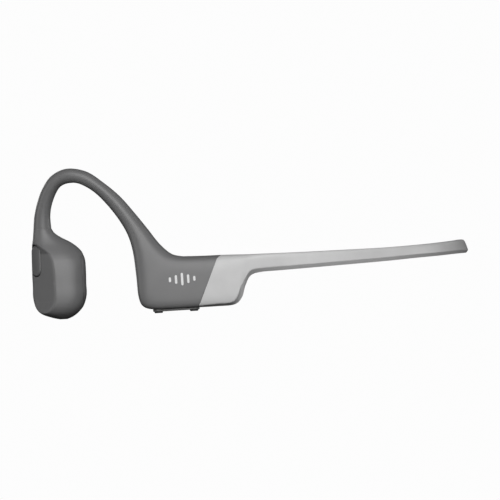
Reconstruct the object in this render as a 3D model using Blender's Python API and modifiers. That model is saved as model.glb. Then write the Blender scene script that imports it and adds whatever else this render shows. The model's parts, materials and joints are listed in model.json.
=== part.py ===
"""Bone conduction headphones: two cheek pods on over-ear hooks, two housings behind the ears and a
springy neckband, built as separate named pieces.

Frame: origin under the middle of the bounding box, at the surface the headphones stand on. +X runs
from the pods to the back of the neckband, +Y to the wearer's right, +Z up. Sizes and places in this
script are millimetres, and the helpers that make meshes turn them into metres. A side is -1 for the
wearer's left (at -Y) and +1 for the right, and a place "out" is measured away from the middle plane.
"""

from math import cos, hypot, pi, radians, sin

import bmesh
import bpy
from mathutils import Matrix, Vector

MM = 0.001
LEFT, RIGHT = -1, 1
SIDE_NAMES = {LEFT: "left", RIGHT: "right"}

# Overall layout
BAND_BACK_X = 73.05  # centre of the band's thickness at the nape
BAND_SIDE_X = 5.0  # where the band starts to curve inwards
BAND_SIDE_OUT = 57.9  # centre of the band's thickness beside the head
BAND_ROUNDNESS = 2.4  # superellipse exponent of the band's plan
BAND_THICKNESS = 3.4
BAND_SIDE_LEAN = radians(4)  # the band's outer face leans in at the top
BAND_BACK_LEAN = radians(18)
JOIN_GAP = 0.2  # between pieces that meet face to face
FLEX_AXIS_X = 75.2  # the two halves of the band turn about its outer skin

# Pod: a rounded block with a slanted outer facet and a flat skin side
POD_X, POD_OUT = -65.7, 47.0
POD_TOP = 31.4
POD_WALL = 1.2
FACET_TURN = radians(50)  # from straight out towards the front
FACET_LEAN = -0.045  # the facet leans in by this much per millimetre of height
FACET_DEPTH = 5.44  # from the pod's middle to the facet, at FACET_MIDDLE_Z
FACET_MIDDLE_Z = 14.0
FACET_HIGH_Z, FACET_HIGH_FADE = 22.8, 0.35  # above this height the facet runs out into the neck
FACET_LOW_Z, FACET_LOW_FADE = 6.0, 0.25  # and below this one into the pod's underside
SKIN_TURN = radians(15)  # the skin side faces in and this much to the back
SKIN_DEPTH = 6.1
SKIN_SHARPNESS, CREASE_SHARPNESS = 12, 40  # of the edges round the skin side and round the facet
# height, front x, back x, inner and outer reach from POD_OUT, squareness
POD_SECTIONS = [
    (0.0, -66.2, -63.8, -1.5, 1.0, 2.2),
    (0.7, -68.9, -61.9, -3.6, 3.0, 2.4),
    (2.2, -72.5, -59.7, -5.9, 5.2, 2.6),
    (4.5, -74.4, -57.8, -7.4, 6.4, 2.8),
    (8.0, -75.2, -56.65, -8.2, 6.8, 3.0),
    (12.0, -75.1, -56.55, -8.4, 6.6, 3.0),
    (16.0, -75.1, -56.4, -8.3, 6.3, 3.0),
    (19.6, -74.8, -56.45, -8.0, 5.7, 3.0),
    (21.6, -74.7, -56.95, -7.5, 5.0, 2.8),
    (23.5, -74.6, -57.9, -6.9, 4.0, 2.6),
    (26.0, -74.4, -60.6, -6.1, 2.5, 2.4),
    (28.2, -74.0, -64.3, -5.4, 1.5, 2.2),
    (29.8, -73.8, -66.4, -5.1, 1.1, 2.1),
    (POD_TOP, -73.6, -67.4, -4.95, 0.95, 2.0),
]

# Contact pad, in the skin side's own frame: u runs to the back, v up, depth outwards from the skin
PAD_SIZE = (13.6, 20.5)
PAD_CORNER = 5.5
PAD_Z = 13.2
PAD_PROUD = 0.8
PAD_BACK = 1.3  # how far the pad reaches into the pod
PAD_RIM = 1.1  # the flange behind the pad is this much larger all round

# Transducer, on an axis square to the pad
MOTOR_U, MOTOR_Z = 1.0, 11.4
YOKE_RADIUS, YOKE_WALL = 5.8, 0.9
COIL_RADII = (4.1, 4.7)
MAGNET_RADIUS, MAGNET_HEIGHT = 3.5, 1.6
POLE_HEIGHT = 0.7
SPRING_THICKNESS = 0.25
BRACKET_RADII = (4.9, 6.1)
MAGNET_TRAVEL = 0.2

# Multifunction button on the left facet
BUTTON_SIZE = (4.6, 10.7)
BUTTON_E, BUTTON_Z = -7.5, 20.6
BUTTON_PROUD = 0.45
BUTTON_TRAVEL = 0.35
SLOT_GAP = 0.15

# Over-ear hook and front of the housing, as facing edge points. Each station: outer edge x and z,
# inner edge x and z, middle (out), half thickness, squareness at the outer and the inner edge.
HOOK_STATIONS = [
    (-73.6, POD_TOP + JOIN_GAP, -67.4, POD_TOP + JOIN_GAP, 45.0, 2.95, 2.0, 2.0),
    (-73.0, 36.0, -67.5, 35.7, 45.4, 2.80, 2.0, 2.0),
    (-71.7, 40.6, -66.7, 39.6, 46.2, 2.70, 2.0, 2.0),
    (-69.7, 45.2, -65.1, 43.3, 47.4, 2.65, 2.0, 2.0),
    (-66.3, 49.5, -63.2, 45.7, 48.7, 2.60, 2.0, 2.0),
    (-60.8, 51.6, -60.1, 46.6, 50.0, 2.55, 2.0, 2.0),
    (-54.2, 50.2, -56.6, 46.0, 51.1, 2.50, 2.0, 2.0),
    (-48.5, 46.0, -51.9, 42.9, 52.0, 2.55, 2.0, 2.0),
    (-43.2, 41.0, -47.6, 38.1, 52.8, 2.80, 2.0, 2.0),
    (-38.5, 35.0, -43.9, 32.7, 53.5, 3.20, 2.1, 2.1),
    (-34.4, 29.3, -41.3, 27.4, 54.1, 3.65, 2.3, 2.3),
    (-30.7, 24.0, -39.9, 21.4, 54.6, 4.05, 2.6, 2.7),
    (-27.0, 20.4, -39.3, 13.6, 54.9, 4.35, 3.0, 3.4),
    (-23.6, 19.25, -38.9, 6.0, 55.1, 4.50, 3.3, 4.4),
    (-20.8, 19.05, -37.3, 2.55, 55.1, 4.50, 3.4, 5.0),
    (-18.4, 18.95, -33.2, 1.4, 55.1, 4.50, 3.5, 5.5),
    (-15.0, 18.85, -26.6, 1.25, 55.1, 4.50, 3.5, 6.0),
    (-10.9, 18.8, -18.7, 1.25, 55.1, 4.50, 3.5, 6.0),
]
# Light rear of the housing down to the band, in the same form
TAIL_STATIONS = [
    (-10.7, 18.8, -18.5, 1.25, 55.1, 4.50, 3.5, 6.0),
    (-7.4, 18.7, -12.0, 1.25, 55.1, 4.50, 3.8, 6.0),
    (-4.4, 18.6, -6.2, 1.5, 55.1, 4.50, 4.2, 6.0),
    (-2.2, 18.5, -3.5, 3.7, 55.3, 4.25, 4.6, 5.5),
    (0.0, 18.45, -2.0, 7.8, 55.9, 3.70, 5.0, 5.0),
    (2.4, 18.4, 0.0, 11.1, 56.7, 2.85, 5.0, 4.6),
    (5.6, 18.35, 3.6, 12.1, 57.5, 2.05, 5.0, 4.4),
    (10.0, 18.25, 9.3, 12.25, 57.8, 1.75, 5.0, 4.2),
]
# Band beyond the tail: share of the way round its plan curve, top z, bottom z
BAND_STATIONS = [
    (0.10, 18.1, 12.5),
    (0.22, 18.0, 12.85),
    (0.36, 17.9, 13.2),
    (0.50, 18.1, 13.65),
    (0.64, 18.4, 13.95),
    (0.78, 18.75, 14.25),
    (0.90, 18.95, 14.35),
    (1.00, 19.05, 14.4),
]
BAND_SQUARENESS = (5.0, 4.2)
BAND_NAPE_CUT = JOIN_GAP / 2  # each half of the band stops this far from the middle plane

# Rigid core inside each housing
CORE_X, CORE_Z = (-36.2, -5.6), (2.7, 16.2)
CORE_CORNER = 3.6
CORE_OUT, CORE_HALF = 55.1, 3.25
CORE_WALL = 0.7
BORE_RADIUS = 1.3
WIRE_RADIUS, LEAD_RADIUS = 0.45, 0.40
WIRE_OFFSET = 0.58

# Underside controls of the right housing
BEZEL_X = (-34.2, -18.2)
BEZEL_WIDTH = 5.2
BEZEL_Z = (0.6, 2.15)
KEY_SIZE = (2.9, 3.4)
KEY_XS = {"volume_up": -32.3, "volume_down": -20.1}
KEY_BOTTOM = 0.12
KEY_TRAVEL = 0.3
PORT_X, PORT_SIZE, PORT_DEPTH = -26.2, (6.2, 3.4), 0.5
PIN_PITCH, PIN_RADIUS = 3.4, 0.6
LIGHT_X, LIGHT_RADIUS = -22.55, 0.35

AROUND_SKIN, AROUND_POD = 16, 28
STEPS_PER_STATION = 2


# ---------------------------------------------------------------- helpers


def clear_scene():
    for thing in list(bpy.data.objects):
        bpy.data.objects.remove(thing)


def make_collection(name, parent):
    made = bpy.data.collections.new(name)
    parent.children.link(made)
    return made


def make_material(name, colour, roughness, metallic=0.0):
    made = bpy.data.materials.new(name)
    made.use_nodes = True
    shader = made.node_tree.nodes["Principled BSDF"]
    shader.inputs["Base Color"].default_value = (*colour, 1.0)
    shader.inputs["Roughness"].default_value = roughness
    shader.inputs["Metallic"].default_value = metallic
    return made


def object_from(name, shape, material=None, place=None):
    """Takes a bmesh in millimetres, and makes a metre-sized object of it in the parts or the cutters."""
    bmesh.ops.transform(shape, matrix=Matrix.Diagonal((MM, MM, MM, 1)), verts=shape.verts)
    bmesh.ops.recalc_face_normals(shape, faces=shape.faces)
    mesh = bpy.data.meshes.new(name)
    shape.to_mesh(mesh)
    shape.free()
    made = bpy.data.objects.new(name, mesh)
    if place is not None:
        location, turn, _ = place.decompose()
        made.location = location * MM
        made.rotation_mode = "QUATERNION"
        made.rotation_quaternion = turn
    finish_object(made, material)
    return made


def finish_object(made, material):
    if material is None:
        made.hide_render = True
        made.display_type = "WIRE"
        CUTTERS.objects.link(made)
        return
    made.data.materials.append(material)
    PARTS.objects.link(made)
    if made.type == "MESH":
        made.data.shade_smooth()
        made.data.set_sharp_from_angle(angle=radians(30))


def cut(target, *cutters):
    for cutter in cutters:
        boolean = target.modifiers.new("cut_" + cutter.name, "BOOLEAN")
        boolean.operation = "DIFFERENCE"
        boolean.solver = "EXACT"
        boolean.object = cutter


def join_on(target, addition):
    boolean = target.modifiers.new("join_" + addition.name, "BOOLEAN")
    boolean.operation = "UNION"
    boolean.solver = "EXACT"
    boolean.object = addition


def frame_at(origin, x_axis, y_axis):
    """A placing matrix from an origin and two square axes. Its z axis is x cross y."""
    x_axis, y_axis = Vector(x_axis).normalized(), Vector(y_axis).normalized()
    z_axis = x_axis.cross(y_axis)
    turn = Matrix((x_axis, y_axis, z_axis)).transposed().to_4x4()
    return Matrix.Translation(Vector(origin)) @ turn


def block(name, size, corner, material=None, place=None, middle=(0, 0, 0), segments=4):
    """A block whose four edges along its local z are rounded by corner."""
    shape = bmesh.new()
    bmesh.ops.create_cube(shape, size=1)
    bmesh.ops.scale(shape, vec=size, verts=shape.verts)
    if corner:
        upright = [e for e in shape.edges if abs((e.verts[0].co - e.verts[1].co).z) > size[2] / 2]
        bmesh.ops.bevel(
            shape, geom=upright, offset=corner, segments=segments, profile=0.5, affect="EDGES"
        )
    bmesh.ops.translate(shape, vec=middle, verts=shape.verts)
    return object_from(name, shape, material, place)


def disc(name, radius, low, high, material=None, place=None, sides=24, top_radius=None):
    """A cylinder or cone about its local z, from low to high."""
    shape = bmesh.new()
    bmesh.ops.create_cone(
        shape,
        cap_ends=True,
        segments=sides,
        radius1=radius,
        radius2=radius if top_radius is None else top_radius,
        depth=high - low,
    )
    bmesh.ops.translate(shape, vec=(0, 0, (low + high) / 2), verts=shape.verts)
    return object_from(name, shape, material, place)


def tube(name, points, radius, material=None, sides_setting=2):
    """A round wire along millimetre points. A cutter is made a mesh, because a curve can't cut."""
    curve = bpy.data.curves.new(name, "CURVE")
    curve.dimensions = "3D"
    curve.bevel_depth = radius * MM
    curve.bevel_resolution = sides_setting
    curve.use_fill_caps = True
    spline = curve.splines.new("POLY")
    spline.points.add(len(points) - 1)
    for target, point in zip(spline.points, points):
        target.co = (*(Vector(point) * MM), 1.0)
    made = bpy.data.objects.new(name, curve)
    if material is not None:
        finish_object(made, material)
        return made
    CUTTERS.objects.link(made)
    bpy.context.view_layer.update()
    graph = bpy.context.evaluated_depsgraph_get()
    mesh = bpy.data.meshes.new_from_object(made.evaluated_get(graph))
    bpy.data.objects.remove(made)
    shape = bmesh.new()
    shape.from_mesh(mesh)
    bmesh.ops.remove_doubles(shape, verts=shape.verts, dist=1e-6)
    bmesh.ops.transform(shape, matrix=Matrix.Diagonal((1 / MM, 1 / MM, 1 / MM, 1)), verts=shape.verts)
    return object_from(name, shape)


def loft(rings):
    """A closed skin through rings of points, with flat ends."""
    shape = bmesh.new()
    made = [[shape.verts.new(p) for p in ring] for ring in rings]
    count = len(rings[0])
    for ring, after in zip(made, made[1:]):
        for i in range(count):
            j = (i + 1) % count
            shape.faces.new((ring[i], ring[j], after[j], after[i]))
    shape.faces.new(list(reversed(made[0])))
    shape.faces.new(made[-1])
    return shape


def through(stations, t):
    """The station values at t, on a smooth curve through all of them."""
    last = len(stations) - 1
    i = min(int(t), last - 1)
    f = t - i
    a, b = stations[max(i - 1, 0)], stations[i]
    c, d = stations[i + 1], stations[min(i + 2, last)]
    return tuple(
        q + 0.5 * f * (r - p + f * (2 * p - 5 * q + 4 * r - s + f * (3 * (q - r) + s - p)))
        for p, q, r, s in zip(a, b, c, d)
    )


def signed_power(value, power):
    return (abs(value) ** power) * (1 if value >= 0 else -1)


# ---------------------------------------------------------------- skins of hook, housing and band


def skin_ring(first, second, across, half, squareness, inset=0.0):
    """A rounded section from the second edge point to the first, and half thick each way across."""
    middle, reach = (first + second) / 2, (first - second) / 2
    reach = reach * (1 - inset / reach.length)
    ring = []
    for k in range(AROUND_SKIN):
        angle = 2 * pi * k / AROUND_SKIN
        power = 2 / (squareness[0] if cos(angle) > 0 else squareness[1])
        along, aside = signed_power(cos(angle), power), signed_power(sin(angle), power)
        ring.append(middle + reach * along + across * (half - inset) * aside)
    return ring


def station_ring(side, values):
    ax, az, bx, bz, out, half, square_a, square_b = values
    first, second = Vector((ax, side * out, az)), Vector((bx, side * out, bz))
    return skin_ring(first, second, Vector((0, side, 0)), half, (square_a, square_b))


def plan_point(share):
    """Middle of the band (x, out) and its outward direction, at a share of the way to the nape."""
    angle = share * pi / 2
    power = 2 / BAND_ROUNDNESS
    length = BAND_BACK_X - BAND_SIDE_X
    x = BAND_SIDE_X + length * signed_power(sin(angle), power)
    out = BAND_SIDE_OUT * signed_power(cos(angle), power)
    lengthwise = (abs(x - BAND_SIDE_X) / length) ** (BAND_ROUNDNESS - 1) / length
    sideways = (abs(out) / BAND_SIDE_OUT) ** (BAND_ROUNDNESS - 1) / BAND_SIDE_OUT
    size = hypot(lengthwise, sideways)
    return x, out, lengthwise / size, sideways / size


def band_ring(side, share, top, bottom):
    x, out, normal_x, normal_out = plan_point(share)
    lean = BAND_SIDE_LEAN + (BAND_BACK_LEAN - BAND_SIDE_LEAN) * share**2
    outward = Vector((normal_x, side * normal_out, 0))
    middle = Vector((x, side * out, (top + bottom) / 2))
    up = Vector((0, 0, cos(lean))) - outward * sin(lean)
    reach = up * (top - bottom) / 2 / cos(lean)
    return skin_ring(middle + reach, middle - reach, outward, BAND_THICKNESS / 2, BAND_SQUARENESS)


def nape_ring(side):
    """The last ring lies flat in a plane just beside the middle one, where the two halves meet."""
    ring = band_ring(side, 1.0, *BAND_STATIONS[-1][1:])
    for point in ring:
        point.y = side * BAND_NAPE_CUT
    return ring


def hook_rings(side):
    last = (len(HOOK_STATIONS) - 1) * STEPS_PER_STATION
    return [station_ring(side, through(HOOK_STATIONS, i / STEPS_PER_STATION)) for i in range(last + 1)]


def sleeve_rings(side):
    last = (len(TAIL_STATIONS) - 1) * STEPS_PER_STATION
    rings = [station_ring(side, through(TAIL_STATIONS, i / STEPS_PER_STATION)) for i in range(last + 1)]
    last = (len(BAND_STATIONS) - 1) * STEPS_PER_STATION
    for i in range(last):
        rings.append(band_ring(side, *through(BAND_STATIONS, i / STEPS_PER_STATION)))
    return rings + [nape_ring(side)]


def hook_path(side, offset=0.0, start_z=None, until=12.8):
    """Middle line of the hook, from the pod's neck to inside the housing."""
    points = []
    if start_z is not None:
        ax, _, bx, _, out, *_ = HOOK_STATIONS[0]
        points.append(Vector(((ax + bx) / 2, side * (out + offset), start_z)))
    steps = int(until * STEPS_PER_STATION)
    for i in range(steps + 1):
        ax, az, bx, bz, out, *_ = through(HOOK_STATIONS, i / STEPS_PER_STATION)
        points.append(Vector(((ax + bx) / 2, side * (out + offset), (az + bz) / 2)))
    return points


def band_path(side, offset=0.0, nape=JOIN_GAP / 2, start_x=CORE_X[1] - 1.0):
    """Middle line of the band, from inside the housing to the nape."""
    tail_z, tail_out = (TAIL_STATIONS[-1][1] + TAIL_STATIONS[-1][3]) / 2, TAIL_STATIONS[-1][4]
    points = [Vector((start_x, side * (CORE_OUT + 0.6), tail_z - 0.7 + offset))]
    points.append(Vector((0.5, side * 56.3, tail_z - 0.4 + offset)))
    points.append(Vector((5.0, side * (tail_out - 0.2), tail_z - 0.1 + offset)))
    last = (len(BAND_STATIONS) - 1) * STEPS_PER_STATION
    for i in range(last + 1):
        share, top, bottom = through(BAND_STATIONS, i / STEPS_PER_STATION)
        x, out, *_ = plan_point(share)
        points.append(Vector((x, side * out, (top + bottom) / 2 + offset)))
    points[-1].y = side * nape
    return points


# ---------------------------------------------------------------- pod


def facet_depth(height):
    fade = FACET_HIGH_FADE * max(0.0, height - FACET_HIGH_Z)
    fade += FACET_LOW_FADE * max(0.0, FACET_LOW_Z - height)
    return FACET_DEPTH + FACET_LEAN * (height - FACET_MIDDLE_Z) + fade


def nearest(first, second, sharpness):
    """The smaller of two distances, with the edge where they are equal rounded off."""
    return (first**-sharpness + second**-sharpness) ** (-1 / sharpness)


def pod_radius(section, angle, inset=0.0):
    """Distance from a section's middle to the pod's surface in the direction of angle."""
    height, front, back, inner, outer, squareness = section
    middle_e, middle_o = (front + back) / 2 - POD_X, (inner + outer) / 2
    half_e, half_o = (back - front) / 2 - inset, (outer - inner) / 2 - inset
    e, o = cos(angle), sin(angle)
    reach = (abs(e / half_e) ** squareness + abs(o / half_o) ** squareness) ** (-1 / squareness)
    for (normal_e, normal_o), depth, sharpness in (
        ((sin(SKIN_TURN), -cos(SKIN_TURN)), SKIN_DEPTH, SKIN_SHARPNESS),
        ((-sin(FACET_TURN), cos(FACET_TURN)), facet_depth(height), CREASE_SHARPNESS),
    ):
        facing = normal_e * e + normal_o * o
        if facing > 0.05:
            plane = (depth - inset - normal_e * middle_e - normal_o * middle_o) / facing
            reach = nearest(reach, plane, sharpness)
    return reach


def pod_ring(side, section, inset=0.0):
    _, front, back, inner, outer, _ = section
    middle_e, middle_o = (front + back) / 2 - POD_X, (inner + outer) / 2
    ring = []
    for k in range(AROUND_POD):
        angle = 2 * pi * k / AROUND_POD
        reach = pod_radius(section, angle, inset)
        e, o = middle_e + reach * cos(angle), middle_o + reach * sin(angle)
        ring.append(Vector((POD_X + e, side * (POD_OUT + o), section[0])))
    return ring


def pod_rings(side):
    last = (len(POD_SECTIONS) - 1) * STEPS_PER_STATION
    sections = [through(POD_SECTIONS, i / STEPS_PER_STATION) for i in range(last + 1)]
    return [pod_ring(side, s) for s in sections]


def pod_cavity_rings(side):
    sections = [through(POD_SECTIONS, i / 2) for i in range(5, 19)]
    return [pod_ring(side, s, POD_WALL) for s in sections]


def skin_axes(side):
    """The pad frame's axes: u to the back, and the direction away from the skin."""
    u_axis = Vector((cos(SKIN_TURN), side * sin(SKIN_TURN), 0))
    away = Vector((-sin(SKIN_TURN), side * cos(SKIN_TURN), 0))
    return u_axis, away


def skin_frame(side, u=0.0, z=PAD_Z, depth=0.0):
    """A frame on the pod's skin side, with its z axis pointing away from the skin."""
    u_axis, away = skin_axes(side)
    foot = Vector((POD_X, side * POD_OUT, z)) - away * SKIN_DEPTH
    return frame_at(foot + u_axis * u + away * depth, u_axis * -side, Vector((0, 0, 1)))


def facet_frame(side, depth=0.0):
    """A frame at the button's place on the facet, with its z axis pointing out of the facet."""
    normal = Vector((-sin(FACET_TURN), side * cos(FACET_TURN), -FACET_LEAN)).normalized()
    out = (facet_depth(BUTTON_Z) + sin(FACET_TURN) * BUTTON_E) / cos(FACET_TURN)
    origin = Vector((POD_X + BUTTON_E, side * (POD_OUT + out), BUTTON_Z))
    level = Vector((0, 0, 1)).cross(normal).normalized()
    return frame_at(origin - normal * depth, level, normal.cross(level))


def build_pod(side):
    name = SIDE_NAMES[side]
    shell = object_from(name + "_pod_shell", loft(pod_rings(side)), DARK)
    cavity = object_from(name + "_pod_cavity", loft(pod_cavity_rings(side)))
    mouth = block(
        name + "_pad_mouth",
        (PAD_SIZE[0] + 2 * SLOT_GAP, PAD_SIZE[1] + 2 * SLOT_GAP, 6.0),
        PAD_CORNER + SLOT_GAP,
        place=skin_frame(side),
        middle=(0, 0, PAD_BACK + JOIN_GAP - 3.0),
    )
    motor_frame = skin_frame(side, MOTOR_U, MOTOR_Z)
    motor_room = disc(name + "_motor_room", YOKE_RADIUS + 0.5, 0, 7.6, None, motor_frame)
    neck = tube(name + "_neck_bore", hook_path(side, 0, POD_TOP - 7.5, 1), BORE_RADIUS)
    mic_port = disc(
        name + "_mic_port", 0.45, -3, 3, place=frame_at((-75.0, side * 42.2, 6.2), (0, 1, 0), (0, 0, 1))
    )
    cut(shell, cavity, mouth, motor_room, neck, mic_port)
    block(
        name + "_microphone",
        (2.6, 2.0, 1.0),
        0,
        BOARD,
        frame_at((-71.0, side * 43.4, 6.2), (0, 1, 0), (0, 0, 1)),
    )
    build_pad(side, name)
    build_motor(side, name)


def build_pad(side, name):
    pad = block(
        name + "_contact_pad",
        (*PAD_SIZE, PAD_BACK + PAD_PROUD),
        PAD_CORNER,
        SKIN_PAD,
        skin_frame(side),
        middle=(0, 0, (PAD_BACK - PAD_PROUD) / 2),
        segments=5,
    )
    rounded = pad.modifiers.new("soft_rim", "BEVEL")
    rounded.width = 0.35 * MM
    rounded.segments = 1
    rounded.limit_method = "ANGLE"
    rounded.angle_limit = radians(60)


def ring_piece(name, radii, low, high, material, place, sides=24):
    piece = disc(name, radii[1], low, high, material, place, sides)
    cut(piece, disc(name + "_hole", radii[0], low - 1, high + 1, None, place, sides))
    return piece


def build_motor(side, name):
    """Coil on the pad's side, and a magnet cup that floats on a flat three-armed spring."""
    axis = skin_frame(side, MOTOR_U, MOTOR_Z)
    coil_low = PAD_BACK + 0.15
    ring_piece(name + "_coil_bracket", BRACKET_RADII, coil_low, coil_low + 0.9, BOARD, axis)
    spring_low = coil_low + 0.9 + 0.1
    coil_high = spring_low + 2.3
    ring_piece(name + "_voice_coil", COIL_RADII, coil_low, coil_high, COPPER, axis)
    spring_high = spring_low + SPRING_THICKNESS
    ring_piece(name + "_suspension_spring", (5.0, 6.0), spring_low, spring_high, STEEL, axis)
    cup_low = spring_high + MAGNET_TRAVEL + 0.12
    cup_high = cup_low + POLE_HEIGHT + MAGNET_HEIGHT + YOKE_WALL + 0.1
    yoke = disc(name + "_magnet_yoke", YOKE_RADIUS, cup_low, cup_high, STEEL, axis)
    inside = YOKE_RADIUS - YOKE_WALL
    cut(yoke, disc(name + "_yoke_bore", inside + 0.05, cup_low - 1, cup_high - YOKE_WALL, None, axis))
    magnet_low = cup_high - YOKE_WALL - 0.05 - MAGNET_HEIGHT
    disc(name + "_magnet", MAGNET_RADIUS, magnet_low, magnet_low + MAGNET_HEIGHT, STEEL, axis)
    pole_high = magnet_low - 0.05
    disc(name + "_pole_plate", MAGNET_RADIUS + 0.15, pole_high - POLE_HEIGHT, pole_high, STEEL, axis)


def build_button():
    """The multifunction button in its slot through the left facet, and the switch that it presses."""
    place = facet_frame(LEFT)
    slot = block(
        "button_slot",
        (BUTTON_SIZE[0] + 2 * SLOT_GAP, BUTTON_SIZE[1] + 2 * SLOT_GAP, 5.0),
        BUTTON_SIZE[0] / 2 + SLOT_GAP - 0.02,
        place=place,
        middle=(0, 0, 0.4),
        segments=5,
    )
    cut(bpy.data.objects["left_pod_shell"], slot)
    button = block(
        "multifunction_button",
        (*BUTTON_SIZE, 1.9),
        BUTTON_SIZE[0] / 2 - 0.02,
        DARK,
        place,
        middle=(0, 0, BUTTON_PROUD - 0.95),
        segments=5,
    )
    soft = button.modifiers.new("soft_rim", "BEVEL")
    soft.width = 0.25 * MM
    soft.segments = 1
    soft.limit_method = "ANGLE"
    soft.angle_limit = radians(60)
    switch_top = BUTTON_PROUD - 1.9 - BUTTON_TRAVEL - 0.1
    block(
        "multifunction_switch",
        (2.6, 3.4, 0.7),
        0,
        STEEL,
        place,
        middle=(0, 0, switch_top - 0.35),
    )
    block(
        "multifunction_board",
        (3.0, 4.4, 0.3),
        0,
        BOARD,
        place,
        middle=(0, 0, switch_top - 0.7 - 0.1 - 0.15),
    )


# ---------------------------------------------------------------- hook, housing and band


def core_block(name, grow, half, material=None, side=LEFT, out_shift=0.0):
    """A plate with the core's rounded outline, grown by grow, half thick each way."""
    size = (CORE_X[1] - CORE_X[0] + 2 * grow, CORE_Z[1] - CORE_Z[0] + 2 * grow, 2 * half)
    middle = ((CORE_X[0] + CORE_X[1]) / 2, side * (CORE_OUT + out_shift), (CORE_Z[0] + CORE_Z[1]) / 2)
    place = frame_at(middle, (1, 0, 0), (0, 0, 1))
    return block(name, size, CORE_CORNER + grow, material, place)


def build_arm(side):
    """Hook cover, band sleeve and core of one side, with the wire and the lead inside."""
    name = SIDE_NAMES[side]
    cover = object_from(name + "_hook_cover", loft(hook_rings(side)), DARK)
    sleeve = object_from("band_sleeve_" + name, loft(sleeve_rings(side)), LIGHT)
    pocket = core_block(name + "_core_pocket", 0.15, CORE_HALF + 0.15, side=side)
    hook_bore = tube(name + "_hook_bore", hook_path(side, 0, POD_TOP - 1), BORE_RADIUS)
    band_bore = tube(name + "_band_bore", band_path(side, 0, -1.0, CORE_X[1] - 4.0), BORE_RADIUS)
    cut(cover, pocket, hook_bore)
    cut(sleeve, pocket, band_bore)
    tube(name + "_hook_wire", hook_path(side, WIRE_OFFSET, POD_TOP - 4), WIRE_RADIUS, TITANIUM)
    tube(name + "_hook_lead", hook_path(side, -WIRE_OFFSET, POD_TOP - 4), LEAD_RADIUS, LEAD)
    tube("band_wire_" + name, band_path(side, WIRE_OFFSET), WIRE_RADIUS, TITANIUM)
    tube("band_lead_" + name, band_path(side, -WIRE_OFFSET), LEAD_RADIUS, LEAD)
    build_core(side, name, hook_bore, band_bore)


def build_core(side, name, *openings):
    """Two trays that meet at the housing's middle plane, open for the wires."""
    half = CORE_HALF / 2 - 0.05
    hollow_half = CORE_HALF - CORE_WALL
    for label, direction in (("outer", 1), ("inner", -1)):
        shift = direction * (half + 0.1)
        tray = core_block(f"{name}_core_{label}", 0, half, CORE, side, shift)
        hollow = core_block(f"{name}_core_{label}_hollow", -CORE_WALL, hollow_half, side=side)
        cut(tray, hollow, *openings)


def build_battery():
    place = frame_at((-22.0, -CORE_OUT, 9.0), (1, 0, 0), (0, 0, 1))
    block("battery_cell", (20.0, 10.6, 4.4), 1.6, FOIL, place)
    place = frame_at((-33.2, -CORE_OUT, 7.6), (1, 0, 0), (0, 0, 1))
    block("battery_board", (0.8, 6.4, 4.0), 0, BOARD, place)


def build_controls():
    """Bezel, keys, charging contacts, light and board of the right housing."""
    middle_x, length = (BEZEL_X[0] + BEZEL_X[1]) / 2, BEZEL_X[1] - BEZEL_X[0]
    middle_z, height = (BEZEL_Z[0] + BEZEL_Z[1]) / 2, BEZEL_Z[1] - BEZEL_Z[0]
    here = frame_at((middle_x, CORE_OUT, middle_z), (1, 0, 0), (0, 1, 0))
    bezel = block("key_bezel", (length, BEZEL_WIDTH, height), 1.4, DARK_HARD, here)
    seat = block(
        "bezel_seat",
        (length + 2 * SLOT_GAP, BEZEL_WIDTH + 2 * SLOT_GAP, 4.0),
        1.4 + SLOT_GAP,
        place=here,
    )
    opening = block("core_opening", (length + 1.0, 4.7, 4.0), 0, place=here, middle=(0, 0, 2.2))
    cut(bpy.data.objects["right_hook_cover"], seat)
    cut(bpy.data.objects["band_sleeve_right"], seat)
    cut(bpy.data.objects["right_core_outer"], opening)
    cut(bpy.data.objects["right_core_inner"], opening)
    for key, x in KEY_XS.items():
        build_key(key, x, bezel)
    port = frame_at((PORT_X, CORE_OUT, BEZEL_Z[0]), (1, 0, 0), (0, 1, 0))
    cut(bezel, block("port_recess", (*PORT_SIZE, 2 * PORT_DEPTH), 1.2, place=port))
    for label, step in (("front", -0.5), ("rear", 0.5)):
        pin = frame_at((PORT_X + step * PIN_PITCH, CORE_OUT, 0), (1, 0, 0), (0, 1, 0))
        cut(bezel, disc(f"pin_hole_{label}", PIN_RADIUS + SLOT_GAP, 0, 4, None, pin, 16))
        disc(f"charge_pin_{label}", PIN_RADIUS, BEZEL_Z[0] + 0.25, 3.6, GOLD, pin, 16)
    lamp = frame_at((LIGHT_X, CORE_OUT + 1.2, 0), (1, 0, 0), (0, 1, 0))
    cut(bezel, disc("light_hole", LIGHT_RADIUS + 0.12, 0, 4, None, lamp, 12))
    disc("status_light", LIGHT_RADIUS, BEZEL_Z[0] + 0.02, 3.2, CLEAR, lamp, 12)
    magnet = frame_at((PORT_X, CORE_OUT, BEZEL_Z[1] + 0.15 + 0.4), (1, 0, 0), (0, 1, 0))
    block("charge_port_magnet", (1.6, 3.2, 0.8), 0, STEEL, magnet)
    board_out = CORE_OUT - 1.6
    board = frame_at((-20.9, board_out, 9.2), (1, 0, 0), (0, 0, 1))
    block("main_board", (24.6, 10.6, 0.8), 1.0, BOARD, board)
    shield = frame_at((-15.5, board_out + 1.25, 10.4), (1, 0, 0), (0, 0, 1))
    block("radio_shield", (9.0, 7.4, 1.3), 0.6, STEEL, shield)


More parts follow.
